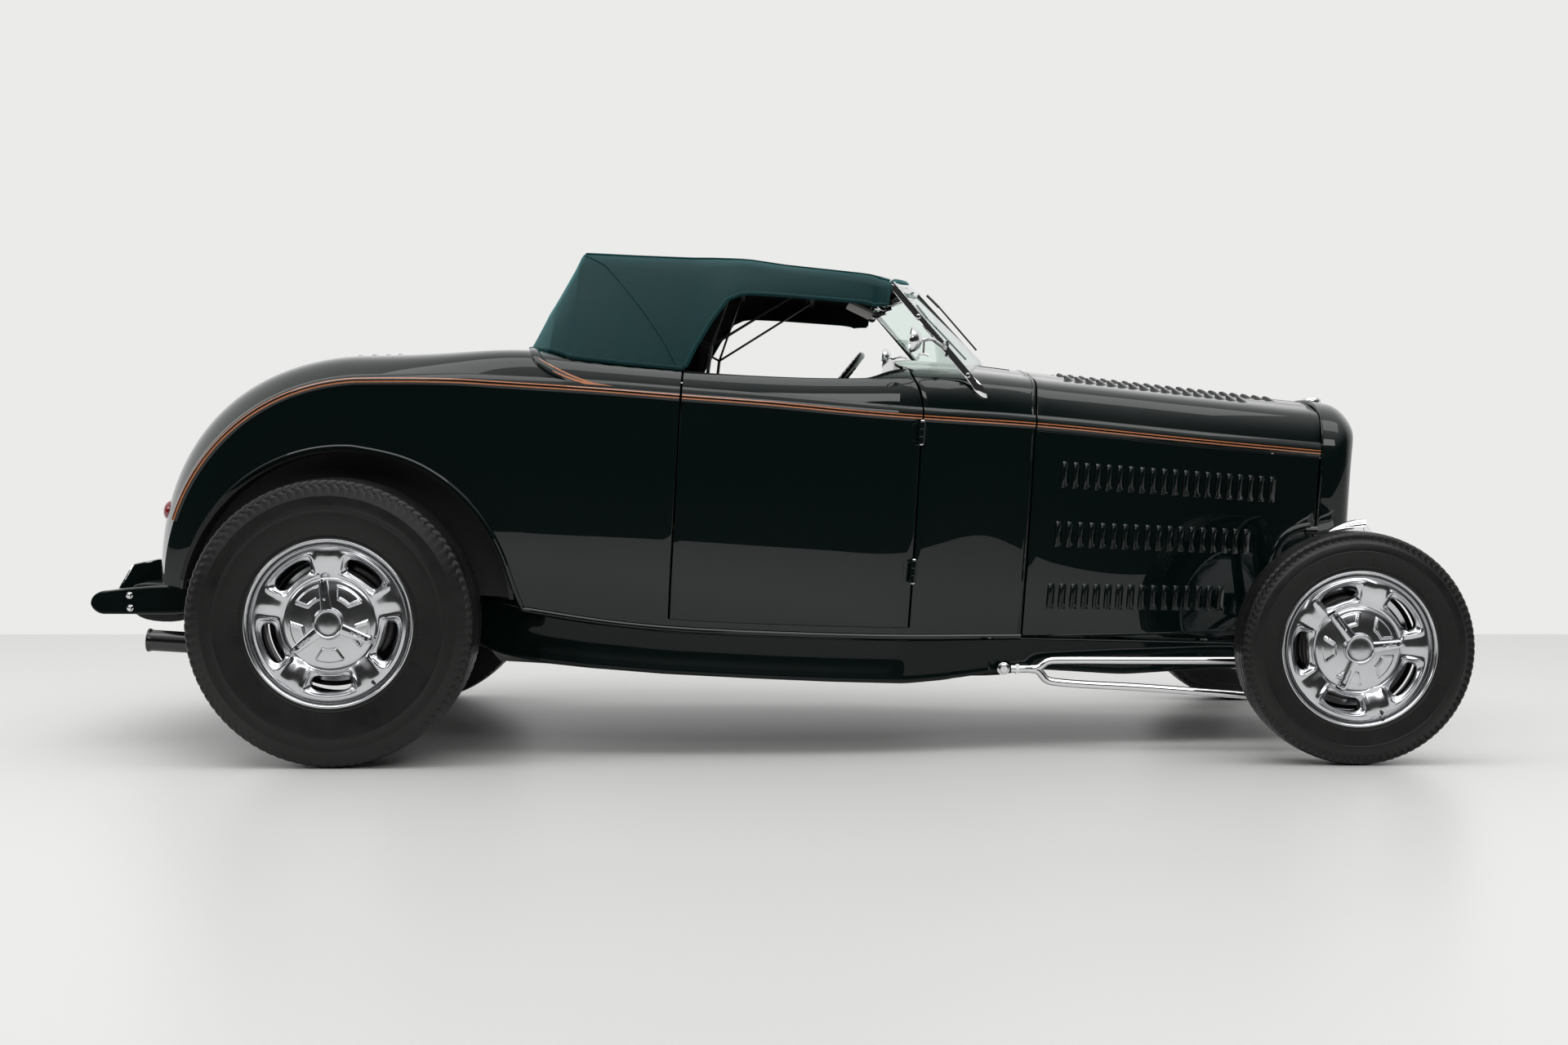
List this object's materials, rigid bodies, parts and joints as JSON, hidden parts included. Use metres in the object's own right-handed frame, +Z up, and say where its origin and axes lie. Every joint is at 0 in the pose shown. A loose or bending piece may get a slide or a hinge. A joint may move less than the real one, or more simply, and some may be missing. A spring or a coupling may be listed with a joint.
{
  "type": "street rod roadster",
  "caption": "Fenderless open street rod with a soft top, split windshield, louvred hood, dropped front axle and slotted alloy wheels; it steers and rolls, and its doors and lids open.",
  "frame": {"origin": "on the ground, under the middle of the whole car's bounding box", "axes": "+X forward, +Y to the driver's left, +Z up"},
  "size_m": [3.7404, 1.657, 1.3863],
  "materials": {
    "body_paint": "deep gloss clear-coated green",
    "frame_paint": "gloss green",
    "chrome": "polished chrome plate",
    "wheel_alloy": "polished cast aluminium",
    "tyre_rubber": "black rubber, satin",
    "top_cloth": "dark green woven canvas",
    "seat_leather": "tan leather, satin",
    "screen_glass": "clear glass with a faint green tint",
    "lamp_red": "red lens, gloss",
    "exhaust_steel": "satin steel",
    "black_metal": "satin black",
    "engine_iron": "painted castings",
    "grille_bars": "polished vertical bars over a black core",
    "floor_trim": "short pile carpet"
  },
  "bodies": {
    "chassis": {"rear_body": "body_paint", "cowl": "body_paint", "hinges": "body_paint", "hood_sides": "body_paint", "grille_shell": "body_paint", "radiator": "grille_bars", "frame_rails": "frame_paint", "crossmembers": "frame_paint", "body_floor": "body_paint", "wheel_tubs": "black_metal", "engine_block": "engine_iron", "fuel_tank": "frame_paint", "seat_cushion": "seat_leather", "seat_back": "seat_leather", "dashboard": "body_paint", "steering_column": "chrome", "windshield_frame": "chrome", "windshield_glass": "screen_glass", "soft_top": "top_cloth", "mirrors": "chrome", "taillights": "lamp_red", "licence_plate": "black_metal", "front_axle": "chrome", "hairpin_rods": "chrome", "rear_axle": "frame_paint", "exhaust_system": "exhaust_steel", "headlights": "chrome", "headlight_brackets": "frame_paint", "shock_towers": "frame_paint"},
    "door_left": {"door_left": "body_paint"},
    "door_right": {"door_right": "body_paint"},
    "hood_top_left": {"hood_top_left": "body_paint"},
    "hood_top_right": {"hood_top_right": "body_paint"},
    "deck_lid": {"deck_lid": "body_paint"},
    "knuckle_left": {"knuckle_left": "black_metal"},
    "knuckle_right": {"knuckle_right": "black_metal"},
    "tie_rod": {"tie_rod": "chrome"},
    "steering_wheel": {"steering_wheel": "black_metal"},
    "front_roller_left": {"front_wheel_left": "wheel_alloy", "front_tyre_left": "tyre_rubber"},
    "front_roller_right": {"front_wheel_right": "wheel_alloy", "front_tyre_right": "tyre_rubber"},
    "rear_roller_left": {"rear_wheel_left": "wheel_alloy", "rear_tyre_left": "tyre_rubber"},
    "rear_roller_right": {"rear_wheel_right": "wheel_alloy", "rear_tyre_right": "tyre_rubber"}
  },
  "joints": [
    {"name": "door_left_swing", "type": "hinge", "parent": "chassis", "child": "door_left", "pos_m": [0.41182, 0.614, 0.68847], "axis": [-0.0593, 0, -0.9982], "range_deg": [0, 65]},
    {"name": "door_right_swing", "type": "hinge", "parent": "chassis", "child": "door_right", "pos_m": [0.41182, -0.614, 0.68847], "axis": [0.0593, 0, 0.9982], "range_deg": [0, 65]},
    {"name": "hood_left_lift", "type": "hinge", "parent": "chassis", "child": "hood_top_left", "pos_m": [0.75626, 0.001, 1.05669], "axis": [0.9941, 0, -0.108], "range_deg": [0, 70]},
    {"name": "hood_right_lift", "type": "hinge", "parent": "chassis", "child": "hood_top_right", "pos_m": [0.75626, -0.001, 1.05669], "axis": [-0.9941, 0, 0.108], "range_deg": [0, 70]},
    {"name": "deck_lid_lift", "type": "hinge", "parent": "chassis", "child": "deck_lid", "pos_m": [-0.77139, 0, 1.09937], "axis": [0, 1, 0], "range_deg": [0, 50]},
    {"name": "steer_left", "type": "hinge", "parent": "chassis", "child": "knuckle_left", "pos_m": [1.5622, 0.59, 0.308], "axis": [0, 0, 1], "range_deg": [-25, 25]},
    {"name": "steer_right", "type": "hinge", "parent": "chassis", "child": "knuckle_right", "pos_m": [1.5622, -0.59, 0.308], "axis": [0, 0, 1], "range_deg": [-25, 25]},
    {"name": "tie_rod_swing", "type": "hinge", "parent": "knuckle_left", "child": "tie_rod", "pos_m": [1.4322, 0.59, 0.186], "axis": [0, 0, 1], "range_deg": [-25, 25]},
    {"name": "steering_wheel_turn", "type": "hinge", "parent": "chassis", "child": "steering_wheel", "pos_m": [0.19366, 0.35, 0.97892], "axis": [-0.7834, 0, 0.6215], "range_deg": [-300, 300]},
    {"name": "front_roll_left", "type": "hinge", "parent": "knuckle_left", "child": "front_roller_left", "pos_m": [1.5622, 0.712, 0.308], "axis": [0, 1, 0], "continuous": true},
    {"name": "front_roll_right", "type": "hinge", "parent": "knuckle_right", "child": "front_roller_right", "pos_m": [1.5622, -0.712, 0.308], "axis": [0, 1, 0], "continuous": true},
    {"name": "rear_roll_left", "type": "hinge", "parent": "chassis", "child": "rear_roller_left", "pos_m": [-1.1298, 0.7205, 0.378], "axis": [0, 1, 0], "continuous": true},
    {"name": "rear_roll_right", "type": "hinge", "parent": "chassis", "child": "rear_roller_right", "pos_m": [-1.1298, -0.7205, 0.378], "axis": [0, 1, 0], "continuous": true}
  ],
  "couplings": [
    {"joint": "steer_right", "follows": "steer_left", "ratio": 1},
    {"joint": "tie_rod_swing", "follows": "steer_left", "ratio": -1},
    {"joint": "steering_wheel_turn", "follows": "steer_left", "ratio": 12}
  ]
}
